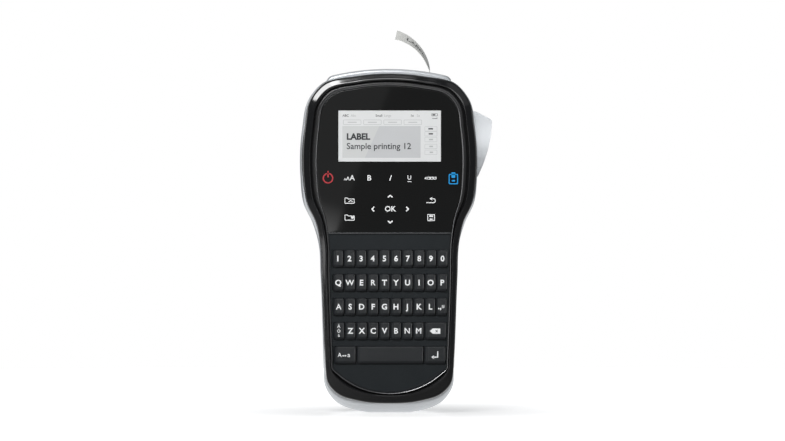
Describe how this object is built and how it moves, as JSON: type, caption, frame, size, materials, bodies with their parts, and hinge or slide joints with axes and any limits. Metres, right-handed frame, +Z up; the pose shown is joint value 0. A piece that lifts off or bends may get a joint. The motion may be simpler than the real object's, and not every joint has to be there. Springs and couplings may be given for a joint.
{
  "type": "handheld label printer",
  "caption": "Handheld label maker with a QWERTY keyboard, display, side cutter lever and tape cassette behind a hinged cover.",
  "frame": {"origin": "on the flat foot of the bottom end, on the centre line, where the part stands", "axes": "+Z up towards the label exit, -Y out of the front face with the keys, +X to the user's right, the cutter lever's side"},
  "size_m": [0.112, 0.058, 0.2232],
  "materials": {
    "rim_gloss": "polished black",
    "panel_gloss": "mirror-gloss black overlay",
    "panel_matte": "fine matte texture",
    "key_grey": "satin with printed white legends",
    "lcd": "grey liquid-crystal display behind glass",
    "board": "green solder mask",
    "mat_rubber": "soft matte",
    "shell_silver": "silver metallic paint",
    "lever_silver": "bright silver paint",
    "battery_wrap": "shrink wrap",
    "cassette_plastic": "moulded, fine texture",
    "label_white": "laminated label tape",
    "roller_rubber": "ground rubber",
    "pinion_brass": "machined",
    "motor_steel": "drawn can",
    "head_metal": "milled",
    "blade_steel": "ground edge"
  },
  "bodies": {
    "housing": {"front_housing": "rim_gloss", "display_panel": "panel_gloss", "keyboard_panel": "panel_matte", "lcd_module": "lcd", "main_board": "board", "keypad_mat": "mat_rubber", "rear_housing": "shell_silver", "battery_pack": "battery_wrap", "tape_cassette": "cassette_plastic", "drive_motor": "motor_steel", "print_head": "head_metal"},
    "cassette_cover": {"cassette_cover": "shell_silver"},
    "battery_cover": {"battery_cover": "shell_silver"},
    "cutter_lever": {"cutter_lever": "lever_silver"},
    "cutter_blade": {"cutter_blade": "blade_steel"},
    "platen_roller": {"platen_roller": "roller_rubber"},
    "motor_pinion": {"motor_pinion": "pinion_brass"},
    "label_tape": {"label_tape": "label_white"},
    "key_1": {"key_1": "key_grey"},
    "key_2": {"key_2": "key_grey"},
    "key_3": {"key_3": "key_grey"},
    "key_4": {"key_4": "key_grey"},
    "key_5": {"key_5": "key_grey"},
    "key_6": {"key_6": "key_grey"},
    "key_7": {"key_7": "key_grey"},
    "key_8": {"key_8": "key_grey"},
    "key_9": {"key_9": "key_grey"},
    "key_0": {"key_0": "key_grey"},
    "key_q": {"key_q": "key_grey"},
    "key_w": {"key_w": "key_grey"},
    "key_e": {"key_e": "key_grey"},
    "key_r": {"key_r": "key_grey"},
    "key_t": {"key_t": "key_grey"},
    "key_y": {"key_y": "key_grey"},
    "key_u": {"key_u": "key_grey"},
    "key_i": {"key_i": "key_grey"},
    "key_o": {"key_o": "key_grey"},
    "key_p": {"key_p": "key_grey"},
    "key_a": {"key_a": "key_grey"},
    "key_s": {"key_s": "key_grey"},
    "key_d": {"key_d": "key_grey"},
    "key_f": {"key_f": "key_grey"},
    "key_g": {"key_g": "key_grey"},
    "key_h": {"key_h": "key_grey"},
    "key_j": {"key_j": "key_grey"},
    "key_k": {"key_k": "key_grey"},
    "key_l": {"key_l": "key_grey"},
    "key_symbol": {"key_symbol": "key_grey"},
    "key_accent": {"key_accent": "key_grey"},
    "key_z": {"key_z": "key_grey"},
    "key_x": {"key_x": "key_grey"},
    "key_c": {"key_c": "key_grey"},
    "key_v": {"key_v": "key_grey"},
    "key_b": {"key_b": "key_grey"},
    "key_n": {"key_n": "key_grey"},
    "key_m": {"key_m": "key_grey"},
    "key_backspace": {"key_backspace": "key_grey"},
    "key_caps": {"key_caps": "key_grey"},
    "key_space": {"key_space": "key_grey"},
    "key_enter": {"key_enter": "key_grey"}
  },
  "joints": [
    {"name": "battery_cover_hinge", "type": "hinge", "parent": "housing", "child": "battery_cover", "pos_m": [0, 0.02386, 0.012], "axis": [-1, 0, 0], "range_deg": [0, 88]},
    {"name": "cassette_cover_hinge", "type": "hinge", "parent": "housing", "child": "cassette_cover", "pos_m": [-0.0429, 0.034, 0.15], "axis": [0, 0, 1], "range_deg": [0, 110]},
    {"name": "cutter_lever_press", "type": "hinge", "parent": "housing", "child": "cutter_lever", "pos_m": [0.0455, 0, 0.1375], "axis": [0, -1, 0], "range_deg": [0, 9], "stiffness_Nm_per_rad": 0.6, "springref_deg": -5.73},
    {"name": "cutter_blade_slide", "type": "slide", "parent": "housing", "child": "cutter_blade", "axis": [-1, 0, 0], "range_m": [0, 0.0078]},
    {"name": "feed_label", "type": "slide", "parent": "housing", "child": "label_tape", "axis": [0, 0, 1], "range_m": [0, 0.015]},
    {"name": "drive_platen", "type": "hinge", "parent": "housing", "child": "platen_roller", "pos_m": [0.019, 0, 0.17], "axis": [0, 1, 0], "continuous": true},
    {"name": "drive_pinion", "type": "hinge", "parent": "housing", "child": "motor_pinion", "pos_m": [0.035, 0, 0.16154], "axis": [0, 1, 0], "continuous": true},
    {"name": "key_1_press", "type": "slide", "parent": "housing", "child": "key_1", "axis": [0, 1, 0], "range_m": [0, 0.0011], "stiffness_N_per_m": 400, "springref_m": -0.0005},
    {"name": "key_2_press", "type": "slide", "parent": "housing", "child": "key_2", "axis": [0, 1, 0], "range_m": [0, 0.0011], "stiffness_N_per_m": 400, "springref_m": -0.0005},
    {"name": "key_3_press", "type": "slide", "parent": "housing", "child": "key_3", "axis": [0, 1, 0], "range_m": [0, 0.0011], "stiffness_N_per_m": 400, "springref_m": -0.0005},
    {"name": "key_4_press", "type": "slide", "parent": "housing", "child": "key_4", "axis": [0, 1, 0], "range_m": [0, 0.0011], "stiffness_N_per_m": 400, "springref_m": -0.0005},
    {"name": "key_5_press", "type": "slide", "parent": "housing", "child": "key_5", "axis": [0, 1, 0], "range_m": [0, 0.0011], "stiffness_N_per_m": 400, "springref_m": -0.0005},
    {"name": "key_6_press", "type": "slide", "parent": "housing", "child": "key_6", "axis": [0, 1, 0], "range_m": [0, 0.0011], "stiffness_N_per_m": 400, "springref_m": -0.0005},
    {"name": "key_7_press", "type": "slide", "parent": "housing", "child": "key_7", "axis": [0, 1, 0], "range_m": [0, 0.0011], "stiffness_N_per_m": 400, "springref_m": -0.0005},
    {"name": "key_8_press", "type": "slide", "parent": "housing", "child": "key_8", "axis": [0, 1, 0], "range_m": [0, 0.0011], "stiffness_N_per_m": 400, "springref_m": -0.0005},
    {"name": "key_9_press", "type": "slide", "parent": "housing", "child": "key_9", "axis": [0, 1, 0], "range_m": [0, 0.0011], "stiffness_N_per_m": 400, "springref_m": -0.0005},
    {"name": "key_0_press", "type": "slide", "parent": "housing", "child": "key_0", "axis": [0, 1, 0], "range_m": [0, 0.0011], "stiffness_N_per_m": 400, "springref_m": -0.0005},
    {"name": "key_q_press", "type": "slide", "parent": "housing", "child": "key_q", "axis": [0, 1, 0], "range_m": [0, 0.0011], "stiffness_N_per_m": 400, "springref_m": -0.0005},
    {"name": "key_w_press", "type": "slide", "parent": "housing", "child": "key_w", "axis": [0, 1, 0], "range_m": [0, 0.0011], "stiffness_N_per_m": 400, "springref_m": -0.0005},
    {"name": "key_e_press", "type": "slide", "parent": "housing", "child": "key_e", "axis": [0, 1, 0], "range_m": [0, 0.0011], "stiffness_N_per_m": 400, "springref_m": -0.0005},
    {"name": "key_r_press", "type": "slide", "parent": "housing", "child": "key_r", "axis": [0, 1, 0], "range_m": [0, 0.0011], "stiffness_N_per_m": 400, "springref_m": -0.0005},
    {"name": "key_t_press", "type": "slide", "parent": "housing", "child": "key_t", "axis": [0, 1, 0], "range_m": [0, 0.0011], "stiffness_N_per_m": 400, "springref_m": -0.0005},
    {"name": "key_y_press", "type": "slide", "parent": "housing", "child": "key_y", "axis": [0, 1, 0], "range_m": [0, 0.0011], "stiffness_N_per_m": 400, "springref_m": -0.0005},
    {"name": "key_u_press", "type": "slide", "parent": "housing", "child": "key_u", "axis": [0, 1, 0], "range_m": [0, 0.0011], "stiffness_N_per_m": 400, "springref_m": -0.0005},
    {"name": "key_i_press", "type": "slide", "parent": "housing", "child": "key_i", "axis": [0, 1, 0], "range_m": [0, 0.0011], "stiffness_N_per_m": 400, "springref_m": -0.0005},
    {"name": "key_o_press", "type": "slide", "parent": "housing", "child": "key_o", "axis": [0, 1, 0], "range_m": [0, 0.0011], "stiffness_N_per_m": 400, "springref_m": -0.0005},
    {"name": "key_p_press", "type": "slide", "parent": "housing", "child": "key_p", "axis": [0, 1, 0], "range_m": [0, 0.0011], "stiffness_N_per_m": 400, "springref_m": -0.0005},
    {"name": "key_a_press", "type": "slide", "parent": "housing", "child": "key_a", "axis": [0, 1, 0], "range_m": [0, 0.0011], "stiffness_N_per_m": 400, "springref_m": -0.0005},
    {"name": "key_s_press", "type": "slide", "parent": "housing", "child": "key_s", "axis": [0, 1, 0], "range_m": [0, 0.0011], "stiffness_N_per_m": 400, "springref_m": -0.0005},
    {"name": "key_d_press", "type": "slide", "parent": "housing", "child": "key_d", "axis": [0, 1, 0], "range_m": [0, 0.0011], "stiffness_N_per_m": 400, "springref_m": -0.0005},
    {"name": "key_f_press", "type": "slide", "parent": "housing", "child": "key_f", "axis": [0, 1, 0], "range_m": [0, 0.0011], "stiffness_N_per_m": 400, "springref_m": -0.0005},
    {"name": "key_g_press", "type": "slide", "parent": "housing", "child": "key_g", "axis": [0, 1, 0], "range_m": [0, 0.0011], "stiffness_N_per_m": 400, "springref_m": -0.0005},
    {"name": "key_h_press", "type": "slide", "parent": "housing", "child": "key_h", "axis": [0, 1, 0], "range_m": [0, 0.0011], "stiffness_N_per_m": 400, "springref_m": -0.0005},
    {"name": "key_j_press", "type": "slide", "parent": "housing", "child": "key_j", "axis": [0, 1, 0], "range_m": [0, 0.0011], "stiffness_N_per_m": 400, "springref_m": -0.0005},
    {"name": "key_k_press", "type": "slide", "parent": "housing", "child": "key_k", "axis": [0, 1, 0], "range_m": [0, 0.0011], "stiffness_N_per_m": 400, "springref_m": -0.0005},
    {"name": "key_l_press", "type": "slide", "parent": "housing", "child": "key_l", "axis": [0, 1, 0], "range_m": [0, 0.0011], "stiffness_N_per_m": 400, "springref_m": -0.0005},
    {"name": "key_symbol_press", "type": "slide", "parent": "housing", "child": "key_symbol", "axis": [0, 1, 0], "range_m": [0, 0.0011], "stiffness_N_per_m": 400, "springref_m": -0.0005},
    {"name": "key_accent_press", "type": "slide", "parent": "housing", "child": "key_accent", "axis": [0, 1, 0], "range_m": [0, 0.0011], "stiffness_N_per_m": 400, "springref_m": -0.0005},
    {"name": "key_z_press", "type": "slide", "parent": "housing", "child": "key_z", "axis": [0, 1, 0], "range_m": [0, 0.0011], "stiffness_N_per_m": 400, "springref_m": -0.0005},
    {"name": "key_x_press", "type": "slide", "parent": "housing", "child": "key_x", "axis": [0, 1, 0], "range_m": [0, 0.0011], "stiffness_N_per_m": 400, "springref_m": -0.0005},
    {"name": "key_c_press", "type": "slide", "parent": "housing", "child": "key_c", "axis": [0, 1, 0], "range_m": [0, 0.0011], "stiffness_N_per_m": 400, "springref_m": -0.0005},
    {"name": "key_v_press", "type": "slide", "parent": "housing", "child": "key_v", "axis": [0, 1, 0], "range_m": [0, 0.0011], "stiffness_N_per_m": 400, "springref_m": -0.0005},
    {"name": "key_b_press", "type": "slide", "parent": "housing", "child": "key_b", "axis": [0, 1, 0], "range_m": [0, 0.0011], "stiffness_N_per_m": 400, "springref_m": -0.0005},
    {"name": "key_n_press", "type": "slide", "parent": "housing", "child": "key_n", "axis": [0, 1, 0], "range_m": [0, 0.0011], "stiffness_N_per_m": 400, "springref_m": -0.0005},
    {"name": "key_m_press", "type": "slide", "parent": "housing", "child": "key_m", "axis": [0, 1, 0], "range_m": [0, 0.0011], "stiffness_N_per_m": 400, "springref_m": -0.0005},
    {"name": "key_backspace_press", "type": "slide", "parent": "housing", "child": "key_backspace", "axis": [0, 1, 0], "range_m": [0, 0.0011], "stiffness_N_per_m": 400, "springref_m": -0.0005},
    {"name": "key_caps_press", "type": "slide", "parent": "housing", "child": "key_caps", "axis": [0, 1, 0], "range_m": [0, 0.0011], "stiffness_N_per_m": 400, "springref_m": -0.0005},
    {"name": "key_space_press", "type": "slide", "parent": "housing", "child": "key_space", "axis": [0, 1, 0], "range_m": [0, 0.0011], "stiffness_N_per_m": 400, "springref_m": -0.0005},
    {"name": "key_enter_press", "type": "slide", "parent": "housing", "child": "key_enter", "axis": [0, 1, 0], "range_m": [0, 0.0011], "stiffness_N_per_m": 400, "springref_m": -0.0005}
  ],
  "couplings": [
    {"joint": "cutter_blade_slide", "follows": "cutter_lever_press", "m_per_rad": 0.04775},
    {"joint": "drive_pinion", "follows": "drive_platen", "ratio": -3.2857}
  ]
}
